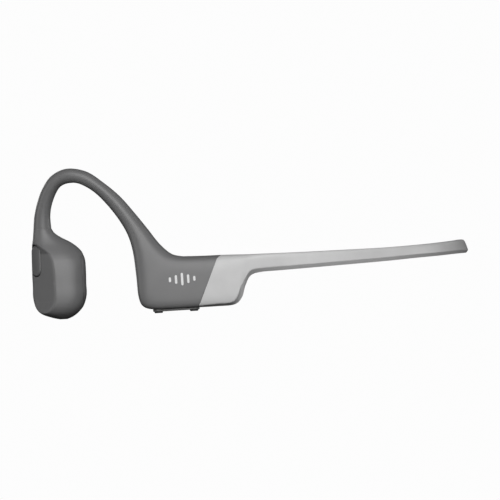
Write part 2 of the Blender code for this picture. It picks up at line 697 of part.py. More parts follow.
def build_key(key, x, bezel):
    """One volume key: a cap through the bezel, a flange behind it, and the switch that it presses."""
    here = frame_at((x, CORE_OUT, 0), (1, 0, 0), (0, 1, 0))
    hole_size = (KEY_SIZE[0] + 2 * SLOT_GAP, KEY_SIZE[1] + 2 * SLOT_GAP, 6.0)
    cut(bezel, block(key + "_hole", hole_size, 1.3, place=here, middle=(0, 0, 1)))
    flange_low = BEZEL_Z[1] + 0.12
    cap_height = flange_low + 0.1 - KEY_BOTTOM
    cap = block(
        key + "_key",
        (*KEY_SIZE, cap_height),
        1.2,
        DARK_HARD,
        here,
        middle=(0, 0, KEY_BOTTOM + cap_height / 2),
    )
    flange = block(
        key + "_flange",
        (KEY_SIZE[0] + 0.3, KEY_SIZE[1] + 0.7, 0.4),
        0.3,
        place=here,
        middle=(0, 0, flange_low + 0.2),
    )
    stem = block(key + "_stem", (1.3, 1.3, 1.2), 0, place=here, middle=(0, 0, flange_low + 0.8))
    join_on(cap, flange)
    join_on(cap, stem)
    switch_low = flange_low + 1.4 + KEY_TRAVEL + 0.1
    block(
        key + "_switch",
        (2.6, 2.0, 1.3),
        0,
        STEEL,
        here,
        middle=(0, -0.1, switch_low + 0.65),
    )


def hang_right_side():
    """Everything on the wearer's right hangs from an empty on the axis that the band flexes about."""
    axis = bpy.data.objects.new("band_flex_axis", None)
    axis.location = Vector((FLEX_AXIS_X, 0, BAND_STATIONS[-1][2])) * MM
    PARTS.objects.link(axis)
    bpy.context.view_layer.update()
    for part in PARTS.objects:
        if part is not axis and is_right(part):
            part.parent = axis
            part.matrix_parent_inverse = axis.matrix_world.inverted()


def is_right(part):
    corners = [part.matrix_world @ Vector(corner) for corner in part.bound_box]
    return sum(corner.y for corner in corners) > 0


clear_scene()
PARTS = make_collection("bone_conduction_headphones", bpy.context.scene.collection)
CUTTERS = make_collection("cutters", bpy.context.scene.collection)
DARK = make_material("dark_silicone", (0.165, 0.165, 0.168), 0.55)
DARK_HARD = make_material("dark_plastic", (0.06, 0.06, 0.062), 0.45)
LIGHT = make_material("light_silicone", (0.56, 0.56, 0.56), 0.5)
SKIN_PAD = make_material("pad_silicone", (0.12, 0.12, 0.122), 0.6)
CORE = make_material("core_plastic", (0.03, 0.03, 0.03), 0.5)
TITANIUM = make_material("titanium", (0.6, 0.58, 0.56), 0.3, 1.0)
STEEL = make_material("steel", (0.62, 0.62, 0.62), 0.25, 1.0)
COPPER = make_material("copper", (0.75, 0.36, 0.18), 0.3, 1.0)
GOLD = make_material("gold_plate", (0.85, 0.62, 0.25), 0.25, 1.0)
BOARD = make_material("circuit_board", (0.02, 0.16, 0.07), 0.4)
LEAD = make_material("lead_jacket", (0.02, 0.02, 0.02), 0.5)
FOIL = make_material("battery_foil", (0.7, 0.7, 0.72), 0.35, 0.8)
CLEAR = make_material("light_pipe", (0.9, 0.9, 0.9), 0.2)
for each_side in (LEFT, RIGHT):
    build_pod(each_side)
    build_arm(each_side)
build_button()
build_battery()
build_controls()
hang_right_side()
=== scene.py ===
"""Looks of the bone conduction headphones: fine skins, materials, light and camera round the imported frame.

Sizes and places are millimetres in the frame of the CAD part, and the helpers that make meshes turn
them into metres. +X runs from the pods to the nape, +Y to the wearer's right and +Z up. A side is -1 for
the wearer's left (at -Y) and +1 for the right, and "out" is measured away from the middle plane.
"""

import json
from math import cos, hypot, pi, radians, sin

import bmesh
import bpy
from mathutils import Matrix, Vector
from mathutils.bvhtree import BVHTree


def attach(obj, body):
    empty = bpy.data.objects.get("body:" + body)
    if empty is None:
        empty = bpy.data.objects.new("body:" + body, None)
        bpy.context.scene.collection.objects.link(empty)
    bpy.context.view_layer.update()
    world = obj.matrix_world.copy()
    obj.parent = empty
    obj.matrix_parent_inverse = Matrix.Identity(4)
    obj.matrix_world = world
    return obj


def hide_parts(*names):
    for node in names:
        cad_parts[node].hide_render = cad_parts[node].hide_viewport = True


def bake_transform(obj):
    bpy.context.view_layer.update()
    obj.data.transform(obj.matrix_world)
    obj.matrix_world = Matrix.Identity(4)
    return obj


MM = 0.001
LEFT, RIGHT = -1, 1
SIDE_NAMES = {LEFT: "left", RIGHT: "right"}
SIDE_BODIES = {LEFT: "left_side", RIGHT: "right_side"}

# The view: level, square on to the wearer's left, with the band's end raised a little
VIEW_TILT = radians(3.5)
VIEW_MIDDLE = (0.30, 19.85)
VIEW_WIDTH = 171.9
VIEW_DISTANCE = 900.0
# Studio panels: name, azimuth and elevation in degrees, width in millimetres, power in watts
LIGHT_DISTANCE = 900.0
LIGHTS = [
    ("front", 5, 0, 650, 5.7),
    ("key", -6, 32, 500, 3.9),
    ("left", -75, 0, 400, 1.5),
    ("right", 84, 0, 400, 3.4),
    ("back", -150, 14, 450, 1.2),
]
ROOM_GREY, ROOM_STRENGTH, BACKDROP_WHITE = 0.9, 0.02, 0.98
FLOOR_Z, FLOOR_REACH, FLOOR_GREY, FLOOR_ROUGHNESS = -0.05, 3000, 0.8, 0.9

# Layout of the band, as in the CAD part
BAND_BACK_X, BAND_SIDE_X, BAND_SIDE_OUT = 73.05, 5.0, 57.9
BAND_ROUNDNESS, BAND_THICKNESS = 2.4, 3.4
BAND_SIDE_LEAN, BAND_BACK_LEAN = radians(4), radians(18)
BAND_SQUARENESS = (5.0, 4.2)

# Pod, as in the CAD part
POD_X, POD_OUT, POD_TOP, POD_WALL = -65.7, 47.0, 31.4, 1.2
FACET_TURN, FACET_LEAN = radians(50), -0.045
FACET_DEPTH, FACET_MIDDLE_Z = 5.44, 14.0
FACET_HIGH_Z, FACET_HIGH_FADE = 22.8, 0.35
FACET_LOW_Z, FACET_LOW_FADE = 6.0, 0.25
SKIN_TURN, SKIN_DEPTH = radians(15), 6.1
SKIN_SHARPNESS, CREASE_SHARPNESS = 12, 40
LEAST_FACING = 0.05  # a flat cuts the pod's section only where it faces this much the same way
# height, front x, back x, inner and outer reach from POD_OUT, squareness
POD_SECTIONS = [
    (0.0, -66.2, -63.8, -1.5, 1.0, 2.2),
    (0.7, -68.9, -61.9, -3.6, 3.0, 2.4),
    (2.2, -72.5, -59.7, -5.9, 5.2, 2.6),
    (4.5, -74.4, -57.8, -7.4, 6.4, 2.8),
    (8.0, -75.2, -56.65, -8.2, 6.8, 3.0),
    (12.0, -75.1, -56.55, -8.4, 6.6, 3.0),
    (16.0, -75.1, -56.4, -8.3, 6.3, 3.0),
    (19.6, -74.8, -56.45, -8.0, 5.7, 3.0),
    (21.6, -74.7, -56.95, -7.5, 5.0, 2.8),
    (23.5, -74.6, -57.9, -6.9, 4.0, 2.6),
    (26.0, -74.4, -60.6, -6.1, 2.5, 2.4),
    (28.2, -74.0, -64.3, -5.4, 1.5, 2.2),
    (29.8, -73.8, -66.4, -5.1, 1.1, 2.1),
    (POD_TOP, -73.6, -67.4, -4.95, 0.95, 2.0),
]
HOLLOW_STEPS = range(5, 19)  # half stations that the pod's hollow goes through
# Parting groove round the pod's back: place, and depth under the skin
PART_X, PART_OUT, PART_Z, PART_DEPTH = (-57.96, -57.78), (48.5, 56.0), (5.4, 21.4), 0.22
PAD_SIZE, PAD_CORNER, PAD_Z = (13.6, 20.5), 5.5, 13.2
PAD_PROUD, PAD_BACK, PAD_EDGE = 0.8, 1.3, 0.45
MOUTH_DEPTHS = (PAD_BACK + 0.2, -4.0)
MOTOR_U, MOTOR_Z, MOTOR_ROOM_RADIUS, MOTOR_ROOM_DEPTH = 1.0, 11.4, 6.3, 7.6
BUTTON_SIZE, BUTTON_E, BUTTON_Z = (4.6, 10.7), -7.5, 20.6
BUTTON_PROUD, BUTTON_HEIGHT, BUTTON_EDGE, BUTTON_GAP, SLOT_GAP = 0.45, 1.9, 0.5, 0.26, 0.15
SLOT_DEPTHS = (-2.1, 2.9)
MIC_PORT, MIC_PORT_RADIUS, MIC_PORT_HALF = (-75.0, 42.2, 6.2), 0.45, 3

# Seams: the covers all but touch, and the edges that meet are eased
SEAM_GAP, SEAM_EASE, SEAM_EASE_SHARE = 0.002, 0.04, 0.015
SEAM_TOP, SEAM_FOOT = (-10.77, 18.8), (-18.57, 1.25)  # x and z of the housing's seam
SEAM_SLOPE = (SEAM_TOP[0] - SEAM_FOOT[0]) / (SEAM_TOP[1] - SEAM_FOOT[1])
# The seam leans back between these heights, and above the last one the skin isn't moved.
SEAM_BEND_Z, SEAM_BEND_LAST_Z, SEAM_BEND_REACH, SEAM_BEND_FADE = (17.4, 18.8), 20.0, 1.0, 9.0

# Hook and housing. Each station: outer edge x and z, inner edge x and z, middle (out), half thickness,
# squareness at the outer and the inner edge.
HOOK_STATIONS = [
    (-73.6, POD_TOP + SEAM_GAP, -67.4, POD_TOP + SEAM_GAP, 45.0, 2.95, 2.0, 2.0),
    (-73.0, 36.0, -67.5, 35.7, 45.4, 2.80, 2.0, 2.0),
    (-71.7, 40.6, -66.7, 39.6, 46.2, 2.70, 2.0, 2.0),
    (-69.7, 45.2, -65.1, 43.3, 47.4, 2.65, 2.0, 2.0),
    (-66.3, 49.5, -63.2, 45.7, 48.7, 2.60, 2.0, 2.0),
    (-60.8, 51.6, -60.1, 46.6, 50.0, 2.55, 2.0, 2.0),
    (-54.2, 50.2, -56.6, 46.0, 51.1, 2.50, 2.0, 2.0),
    (-48.5, 46.0, -51.9, 42.9, 52.0, 2.55, 2.0, 2.0),
    (-43.2, 41.0, -47.6, 38.1, 52.8, 2.80, 2.0, 2.0),
    (-38.5, 35.0, -43.9, 32.7, 53.5, 3.20, 2.1, 2.1),
    (-34.4, 29.3, -41.3, 27.4, 54.1, 3.65, 2.3, 2.3),
    (-30.7, 24.0, -39.9, 21.4, 54.6, 4.05, 2.6, 2.7),
    (-27.0, 20.4, -39.3, 13.6, 54.9, 4.35, 3.0, 3.4),
    (-23.6, 19.25, -38.9, 6.0, 55.1, 4.50, 3.3, 4.4),
    (-20.8, 19.05, -37.3, 2.55, 55.1, 4.50, 3.4, 5.0),
    (-18.4, 18.95, -33.2, 1.4, 55.1, 4.50, 3.5, 5.5),
    (-15.0, 18.85, -26.6, 1.25, 55.1, 4.50, 3.5, 6.0),
    (*SEAM_TOP, *SEAM_FOOT, 55.1, 4.50, 3.5, 6.0),
]
# The sleeve's stations end in the height of the chamfer along its lower edges.
TAIL_STATIONS = [
    (-10.73, 18.8, -18.53, 1.25, 55.1, 4.50, 3.5, 6.0, 0.9),
    (-7.4, 18.7, -12.0, 1.25, 55.1, 4.50, 3.8, 6.0, 1.1),
    (-4.4, 18.6, -6.2, 1.5, 55.1, 4.50, 4.2, 6.0, 1.5),
    (-2.2, 18.5, -3.5, 3.7, 55.3, 4.25, 4.6, 5.5, 5.2),
    (0.0, 18.45, -2.0, 7.8, 55.9, 3.70, 5.0, 5.0, 3.7),
    (2.4, 18.4, 0.0, 11.1, 56.7, 2.85, 5.0, 4.6, 2.1),
    (5.6, 18.35, 3.6, 12.1, 57.5, 2.05, 5.0, 4.4, 1.45),
    (10.0, 18.25, 9.3, 12.25, 57.8, 1.75, 5.0, 4.2, 1.4),
]
CHAMFER_DEPTH = 0.62  # of the half thickness
# Band beyond the tail: share of the way round its plan curve, top z, bottom z, chamfer
BAND_STATIONS = [
    (0.10, 18.1, 12.5, 1.35),
    (0.22, 18.0, 12.85, 1.35),
    (0.36, 17.9, 13.2, 1.35),
    (0.50, 18.1, 13.65, 1.3),
    (0.64, 18.4, 13.95, 1.25),
    (0.78, 18.75, 14.25, 1.2),
    (0.90, 18.95, 14.35, 1.1),
    (1.00, 19.05, 14.4, 1.0),
]
BAR_HEIGHTS = (1.7, 3.0, 4.3, 3.0, 1.7)  # the print
BAR_WIDTH, BAR_PITCH, BAR_DEPTH, BAR_PROUD, BARS_X, BARS_Z = 0.8, 2.1, 0.05, 0.025, -23.6, 11.3
CORE_X, CORE_Z, CORE_CORNER = (-36.2, -5.6), (2.7, 16.2), 3.6
CORE_OUT, CORE_HALF = 55.1, 3.25
BORE_RADIUS, WIRE_RADIUS, LEAD_RADIUS, WIRE_OFFSET = 1.3, 0.45, 0.40, 0.58
NECK_BORE_LOW, HOOK_BORE_LOW = POD_TOP - 7.5, POD_TOP - 1
BAND_BORE_X, BAND_WIRE_X = CORE_X[1] - 4.0, CORE_X[1] - 1.0

# Underside controls of the right housing
BEZEL_X, BEZEL_WIDTH, BEZEL_Z, BEZEL_CORNER = (-34.2, -18.2), 5.2, (0.6, 2.15), 1.4
BEZEL_EDGE, SEAT_DEPTHS, HOLE_DEPTHS = 0.25, (-0.6, 3.4), (-1, 4)
KEY_SIZE, KEY_CORNER, KEY_EDGE, KEY_HOLE_CORNER = (2.9, 3.4), 1.2, 0.3, 1.3
KEY_XS = {"volume_up": -32.3, "volume_down": -20.1}
KEY_BOTTOM, KEY_TOP = 0.12, BEZEL_Z[1] + 1.52
KEY_FLANGE_Z, KEY_FLANGE_PROUD, KEY_STEM_INSET = (BEZEL_Z[1] + 0.12, BEZEL_Z[1] + 0.52), 0.15, 0.9
MARK_SIZE, MARK_DEPTH = (1.5, 0.3), 0.1
PORT_X, PORT_SIZE, PORT_CORNER, PORT_DEPTH = -26.2, (6.2, 3.4), 1.2, 0.5
PIN_PITCH, PIN_RADIUS = 3.4, 0.6
LAMP_X, LAMP_OUT, LAMP_RADIUS, LAMP_GAP = -22.55, CORE_OUT + 1.2, 0.35, 0.12

MOTTLE_MM, EDGE_POINTINESS, TURN_MM, TRACK_MM = 6.0, (0.52, 0.60), 1.0, 4.0

AROUND_POD, AROUND_SKIN = 256, 96
STEPS_POD, STEPS_SKIN = 9, 10
AROUND_CAVITY, AROUND_DISC, AROUND_BORE, AROUND_WIRE = 32, 32, 10, 12
SHARP_ANGLE = radians(32)
LEAST_CORNER = 0.05
UPRIGHT_LIMIT = 0.2  # a path closer to upright than this takes its side from +Y
FAR_OUT = 90

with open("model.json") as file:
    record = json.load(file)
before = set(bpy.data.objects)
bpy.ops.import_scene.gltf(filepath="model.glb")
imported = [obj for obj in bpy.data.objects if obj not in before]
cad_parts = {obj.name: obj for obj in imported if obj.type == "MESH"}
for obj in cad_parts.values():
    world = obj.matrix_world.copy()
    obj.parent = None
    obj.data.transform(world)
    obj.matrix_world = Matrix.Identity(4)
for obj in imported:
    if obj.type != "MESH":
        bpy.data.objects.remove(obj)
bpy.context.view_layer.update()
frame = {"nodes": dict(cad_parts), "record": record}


# ---------------------------------------------------------------- mesh helpers


def object_from(name, shape, place=None):
    """Takes a bmesh in millimetres and makes a metre-sized, smooth-shaded object of it."""
    if place is not None:
        bmesh.ops.transform(shape, matrix=place, verts=shape.verts)
    bmesh.ops.transform(shape, matrix=Matrix.Diagonal((MM, MM, MM, 1)), verts=shape.verts)
    bmesh.ops.recalc_face_normals(shape, faces=shape.faces)
    mesh = bpy.data.meshes.new(name)
    shape.to_mesh(mesh)
    shape.free()
    made = bpy.data.objects.new(name, mesh)
    bpy.context.scene.collection.objects.link(made)
    shade(made)
    return made


def shade(made):
    """Smooth shading with crisp edges where faces meet at a sharp angle."""
    made.data.shade_smooth()
    made.data.set_sharp_from_angle(angle=SHARP_ANGLE)


def cut(target, *cutters):
    """Cuts the cutters from target for good, and removes them."""
    for cutter in cutters:
        boolean = target.modifiers.new("cut", "BOOLEAN")
        boolean.operation = "DIFFERENCE"
        boolean.solver = "EXACT"
        boolean.object = cutter
    settle(target)
    for cutter in cutters:
        bpy.data.objects.remove(cutter)
    shade(target)


def settle(target):
    """Makes an object's modifiers part of its mesh."""
    bpy.context.view_layer.update()
    graph = bpy.context.evaluated_depsgraph_get()
    mesh = bpy.data.meshes.new_from_object(target.evaluated_get(graph))
    target.modifiers.clear()
    target.data = mesh


def frame_at(origin, x_axis, y_axis):
    """A placing matrix from an origin and two square axes. Its z axis is x cross y."""
    x_axis, y_axis = Vector(x_axis).normalized(), Vector(y_axis).normalized()
    turn = Matrix((x_axis, y_axis, x_axis.cross(y_axis))).transposed().to_4x4()
    return Matrix.Translation(Vector(origin)) @ turn


def loft(rings):
    """A closed skin through rings of points, with flat ends."""
    shape = bmesh.new()
    made = [[shape.verts.new(p) for p in ring] for ring in rings]
    count = len(rings[0])
    for ring, after in zip(made, made[1:]):
        for i in range(count):
            j = (i + 1) % count
            shape.faces.new((ring[i], ring[j], after[j], after[i]))
    shape.faces.new(list(reversed(made[0])))
    shape.faces.new(made[-1])
    return shape


def rounded_outline(size, corner, segments):
    """Points round a rounded rectangle, anticlockwise."""
    corner = min(corner, min(size) / 2 - 1e-4)
    points = []
    for quarter in range(4):
        turn = quarter * pi / 2
        sign_x, sign_y = cos(turn + pi / 4) > 0, sin(turn + pi / 4) > 0
        x = (size[0] / 2 - corner) * (1 if sign_x else -1)
        y = (size[1] / 2 - corner) * (1 if sign_y else -1)
        for k in range(segments + 1):
            angle = turn + k * pi / 2 / segments
            points.append((x + corner * cos(angle), y + corner * sin(angle)))
    return points


def grown(size, gap):
    """A size with a gap added all round."""
    return size[0] + 2 * gap, size[1] + 2 * gap


def plate(name, size, corner, profile, place, segments=14):
    """A rounded plate. The profile is a list of (inset, depth) pairs along the plate's edge."""
    rings = []
    for inset, depth in profile:
        shrunk = (size[0] - 2 * inset, size[1] - 2 * inset)
        outline = rounded_outline(shrunk, max(corner - inset, LEAST_CORNER), segments)
        rings.append([Vector((x, y, depth)) for x, y in outline])
    return object_from(name, loft(rings), place)


def soft_edge(radius, low, high, steps=5):
    """A profile from low to high with its high edge rounded to radius."""
    profile = [(0.0, low)]
    direction = 1 if high > low else -1
    for k in range(steps + 1):
        angle = k * pi / 2 / steps
        profile.append((radius * (1 - cos(angle)), high - direction * radius * (1 - sin(angle))))
    return profile


def straight(depths):
    """A profile with upright sides."""
    return [(0, depth) for depth in depths]


def disc(name, radius, low, high, place):
    """A round plate about its local z, from low to high."""
    size = (2 * radius, 2 * radius)
    return plate(name, size, radius, straight((low, high)), place, AROUND_DISC // 4)


def tube_rings(points, radius, around):
    """Rings square to a path through points."""
    rings = []
    for i, point in enumerate(points):
        before, after = points[max(i - 1, 0)], points[min(i + 1, len(points) - 1)]
        along = (after - before).normalized()
        side = along.cross(Vector((0, 0, 1)))
        if side.length < UPRIGHT_LIMIT:
            side = along.cross(Vector((0, 1, 0)))
        side.normalize()
        up = side.cross(along)
        ring = []
        for k in range(around):
            angle = 2 * pi * k / around
            ring.append(point + (side * cos(angle) + up * sin(angle)) * radius)
        rings.append(ring)
    return rings


def tube(name, points, radius, around):
    return object_from(name, loft(tube_rings(points, radius, around)))


def through(stations, t):
    """The station values at t, on a smooth curve through all of them."""
    last = len(stations) - 1
    i = min(int(t), last - 1)
    f = t - i
    a, b = stations[max(i - 1, 0)], stations[i]
    c, d = stations[i + 1], stations[min(i + 2, last)]
    return tuple(
        q + 0.5 * f * (r - p + f * (2 * p - 5 * q + 4 * r - s + f * (3 * (q - r) + s - p)))
        for p, q, r, s in zip(a, b, c, d)
    )


def all_through(stations, steps):
    last = (len(stations) - 1) * steps
    return [through(stations, i / steps) for i in range(last + 1)]


def signed_power(value, power):
    return (abs(value) ** power) * (1 if value >= 0 else -1)


# ---------------------------------------------------------------- skins of hook, housing and band


def skin_ring(first, second, across, half, squareness, chamfer=0.0):
    """A rounded section from the second edge point to the first, and half thick each way across."""
    middle, reach = (first + second) / 2, (first - second) / 2
    length = reach.length
    ring = []
    for k in range(AROUND_SKIN):
        angle = 2 * pi * k / AROUND_SKIN
        power = 2 / (squareness[0] if cos(angle) > 0 else squareness[1])
        along, aside = signed_power(cos(angle), power), signed_power(sin(angle), power)
        scale = chamfer_scale(along * length, abs(aside) * half, length, half, chamfer)
        ring.append(middle + (reach * along + across * half * aside) * scale)
    return ring


def chamfer_scale(along, aside, length, half, chamfer):
    """How far in towards the middle a section's point comes where the lower edges are chamfered."""
    if not chamfer:
        return 1.0
    depth = half * CHAMFER_DEPTH
    limit = depth * (length - chamfer) + chamfer * half
    reached = chamfer * aside - depth * along
    return min(1.0, limit / reached) if reached > 0 else 1.0


def station_ring(side, values):
    ax, az, bx, bz, out, half, square_a, square_b, *chamfer = values
    first, second = Vector((ax, side * out, az)), Vector((bx, side * out, bz))
    ring = skin_ring(first, second, Vector((0, side, 0)), half, (square_a, square_b), *chamfer)
    return [seam_bent(point) for point in ring]


def seam_bent(point):
    """The housing's seam leans back where it comes over the top, and the skin near it goes along."""
    low, high = SEAM_BEND_Z
    if point.z < low or point.z > SEAM_BEND_LAST_Z:
        return point
    from_seam = abs(point.x - SEAM_FOOT[0] - SEAM_SLOPE * (point.z - SEAM_FOOT[1]))
    fade = max(0.0, 1 - from_seam / SEAM_BEND_FADE)
    lift = min(1.0, (point.z - low) / (high - low)) ** 1.5
    return point + Vector((SEAM_BEND_REACH * lift * fade, 0, 0))


def eased(ring):
    """The ring drawn in a little, for the last ring at a seam."""
    middle = sum(ring, Vector()) / len(ring)
    return [point + (middle - point).normalized() * SEAM_EASE for point in ring]


def eased_ends(ring_at, last, steps, at_start=True, at_end=True):
    """Rings ring_at(t) for t from 0 to last, with the edges at the seams eased."""
    rings = [ring_at(i / steps) for i in range(last * steps + 1)]
    if at_start:
        rings[:1] = [eased(rings[0]), ring_at(SEAM_EASE_SHARE)]
    if at_end:
        rings[-1:] = [ring_at(last - SEAM_EASE_SHARE), eased(rings[-1])]
    return rings


def plan_point(share):
    """Middle of the band (x, out) and its outward direction, at a share of the way to the nape."""
    angle = share * pi / 2
    power = 2 / BAND_ROUNDNESS
    length = BAND_BACK_X - BAND_SIDE_X
    x = BAND_SIDE_X + length * signed_power(sin(angle), power)
    out = BAND_SIDE_OUT * signed_power(cos(angle), power)
    lengthwise = (abs(x - BAND_SIDE_X) / length) ** (BAND_ROUNDNESS - 1) / length
    sideways = (abs(out) / BAND_SIDE_OUT) ** (BAND_ROUNDNESS - 1) / BAND_SIDE_OUT
    size = hypot(lengthwise, sideways)
    return x, out, lengthwise / size, sideways / size


def band_ring(side, share, top, bottom, chamfer):
    x, out, normal_x, normal_out = plan_point(share)
    lean = BAND_SIDE_LEAN + (BAND_BACK_LEAN - BAND_SIDE_LEAN) * share**2
    outward = Vector((normal_x, side * normal_out, 0))
    middle = Vector((x, side * out, (top + bottom) / 2))
    up = Vector((0, 0, cos(lean))) - outward * sin(lean)
    reach = up * (top - bottom) / 2 / cos(lean)
    half = BAND_THICKNESS / 2
    return skin_ring(middle + reach, middle - reach, outward, half, BAND_SQUARENESS, chamfer)


def half_band_rings(side):
    def tail_ring(t):
        return station_ring(side, through(TAIL_STATIONS, t))

    rings = eased_ends(tail_ring, len(TAIL_STATIONS) - 1, STEPS_SKIN, at_end=False)
    for values in all_through(BAND_STATIONS, 2 * STEPS_SKIN)[:-1]:
        rings.append(band_ring(side, *values))
    return rings


def mirrored(ring):
    """The ring reflected in the middle plane, with the same point first."""
    return [Vector((p.x, -p.y, p.z)) for p in ring]


def band_rings():
    """The whole sleeve from the left seam round the nape to the right one."""
    left = half_band_rings(LEFT)
    nape = band_ring(LEFT, 1.0, *BAND_STATIONS[-1][1:])
    for point in nape:
        point.y = 0.0
    return left + [nape] + [mirrored(ring) for ring in reversed(left)]


def hook_path(side, start_z, until=12.8, steps=6):
    """Middle line of the hook, from start_z in the pod's neck to inside the housing."""
    ax, _, bx, _, out, *_ = HOOK_STATIONS[0]
    points = [Vector(((ax + bx) / 2, side * out, start_z))]
    for i in range(int(until * steps) + 1):
        ax, az, bx, bz, out, *_ = through(HOOK_STATIONS, i / steps)
        points.append(Vector(((ax + bx) / 2, side * out, (az + bz) / 2)))
    return points


def band_path(offset, start_x=BAND_WIRE_X, steps=8):
    """A line offset upwards from the band's middle, from inside the left housing to inside the right."""
    tail = TAIL_STATIONS[-1]
    tail_z, tail_out = (tail[1] + tail[3]) / 2, tail[4]
    points = [Vector((start_x, -(CORE_OUT + 0.6), tail_z - 0.7 + offset))]
    points.append(Vector((0.5, -56.3, tail_z - 0.4 + offset)))
    points.append(Vector((5.0, -(tail_out - 0.2), tail_z - 0.1 + offset)))
    for share, top, bottom, _ in all_through(BAND_STATIONS, steps)[:-1]:
        x, out, *_ = plan_point(share)
        points.append(Vector((x, -out, (top + bottom) / 2 + offset)))
    nape_z = (BAND_STATIONS[-1][1] + BAND_STATIONS[-1][2]) / 2 + offset
    return points + [Vector((BAND_BACK_X, 0, nape_z))] + mirrored(reversed(points))


# ---------------------------------------------------------------- pod


def facet_depth(height):
    fade = FACET_HIGH_FADE * max(0.0, height - FACET_HIGH_Z)
    fade += FACET_LOW_FADE * max(0.0, FACET_LOW_Z - height)
    return FACET_DEPTH + FACET_LEAN * (height - FACET_MIDDLE_Z) + fade


def nearest(first, second, sharpness):
    """The smaller of two distances, with the edge where they are equal rounded off."""
    return (first**-sharpness + second**-sharpness) ** (-1 / sharpness)


def pod_radius(section, angle, inset=0.0):
    """Distance from a section's middle to the pod's surface in the direction of angle."""
    height, front, back, inner, outer, squareness = section
    middle_e, middle_o = (front + back) / 2 - POD_X, (inner + outer) / 2
    half_e, half_o = (back - front) / 2 - inset, (outer - inner) / 2 - inset
    e, o = cos(angle), sin(angle)
    reach = (abs(e / half_e) ** squareness + abs(o / half_o) ** squareness) ** (-1 / squareness)
    for (normal_e, normal_o), depth, sharpness in (
        ((sin(SKIN_TURN), -cos(SKIN_TURN)), SKIN_DEPTH, SKIN_SHARPNESS),
        ((-sin(FACET_TURN), cos(FACET_TURN)), facet_depth(height), CREASE_SHARPNESS),
    ):
        facing = normal_e * e + normal_o * o
        if facing > LEAST_FACING:
            plane = (depth - inset - normal_e * middle_e - normal_o * middle_o) / facing
            reach = nearest(reach, plane, sharpness)
    return reach


def pod_ring(side, section, around, inset=0.0):
    _, front, back, inner, outer, _ = section
    middle_e, middle_o = (front + back) / 2 - POD_X, (inner + outer) / 2
    ring = []
    for k in range(around):
        angle = 2 * pi * k / around
        reach = pod_radius(section, angle, inset)
        e, o = middle_e + reach * cos(angle), middle_o + reach * sin(angle)
        ring.append(Vector((POD_X + e, side * (POD_OUT + o), section[0])))
    return ring


def skin_axes(side):
    """The pad frame's axes: u to the back, and the direction away from the skin."""
    u_axis = Vector((cos(SKIN_TURN), side * sin(SKIN_TURN), 0))
    away = Vector((-sin(SKIN_TURN), side * cos(SKIN_TURN), 0))
    return u_axis, away


def skin_frame(side, u=0.0, z=PAD_Z):
    """A frame on the pod's skin side, with its z axis pointing away from the skin."""
    u_axis, away = skin_axes(side)
    foot = Vector((POD_X, side * POD_OUT, z)) - away * SKIN_DEPTH + u_axis * u
    return frame_at(foot, u_axis * -side, Vector((0, 0, 1)))


def facet_frame(side):
    """A frame at the button's place on the facet, with its z axis pointing out of the facet."""
    normal = Vector((-sin(FACET_TURN), side * cos(FACET_TURN), -FACET_LEAN)).normalized()
    out = (facet_depth(BUTTON_Z) + sin(FACET_TURN) * BUTTON_E) / cos(FACET_TURN)
    origin = Vector((POD_X + BUTTON_E, side * (POD_OUT + out), BUTTON_Z))
    level = Vector((0, 0, 1)).cross(normal).normalized()
    return frame_at(origin, level, normal.cross(level))


# ---------------------------------------------------------------- materials


def node_material(name, colour, roughness, metallic=0.0):
    made = bpy.data.materials.new(name)
    made.use_nodes = True
    shader = made.node_tree.nodes["Principled BSDF"]
    shader.inputs["Base Color"].default_value = (*colour, 1.0)
    shader.inputs["Roughness"].default_value = roughness
    shader.inputs["Metallic"].default_value = metallic
    return made, made.node_tree.nodes, made.node_tree.links, shader


def noise(nodes, links, grain_mm, detail=3.0, stretch=(1, 1, 1)):
    """Noise whose features are about grain_mm across, fixed to the object."""
    place = nodes.new("ShaderNodeTexCoord")
    mapping = nodes.new("ShaderNodeMapping")
    mapping.inputs["Scale"].default_value = stretch
    texture = nodes.new("ShaderNodeTexNoise")
    texture.inputs["Scale"].default_value = 1 / (grain_mm * MM)
    texture.inputs["Detail"].default_value = detail
    links.new(place.outputs["Object"], mapping.inputs["Vector"])
    links.new(mapping.outputs["Vector"], texture.inputs["Vector"])
    return texture.outputs["Fac"]


def spread(nodes, links, value, low, high, from_low=0.3, from_high=0.7):
    """value mapped to the range low to high."""
    mapped = nodes.new("ShaderNodeMapRange")
    mapped.inputs["From Min"].default_value = from_low
    mapped.inputs["From Max"].default_value = from_high
    mapped.inputs["To Min"].default_value = low
    mapped.inputs["To Max"].default_value = high
    links.new(value, mapped.inputs["Value"])
    return mapped.outputs["Result"]


def tinted(nodes, links, value, dark, light):
    """A colour between dark and light by value."""
    mixed = nodes.new("ShaderNodeMix")
    mixed.data_type = "RGBA"
    mixed.inputs["A"].default_value = (*dark, 1)
    mixed.inputs["B"].default_value = (*light, 1)
    links.new(value, mixed.inputs["Factor"])
    return mixed.outputs["Result"]


def bumped(nodes, links, shader, height, strength, distance_mm):
    bump = nodes.new("ShaderNodeBump")
    bump.inputs["Strength"].default_value = strength
    bump.inputs["Distance"].default_value = distance_mm * MM
    links.new(height, bump.inputs["Height"])
    links.new(bump.outputs["Normal"], shader.inputs["Normal"])


def scaled(colour, factor):
    return tuple(min(1.0, c * factor) for c in colour)


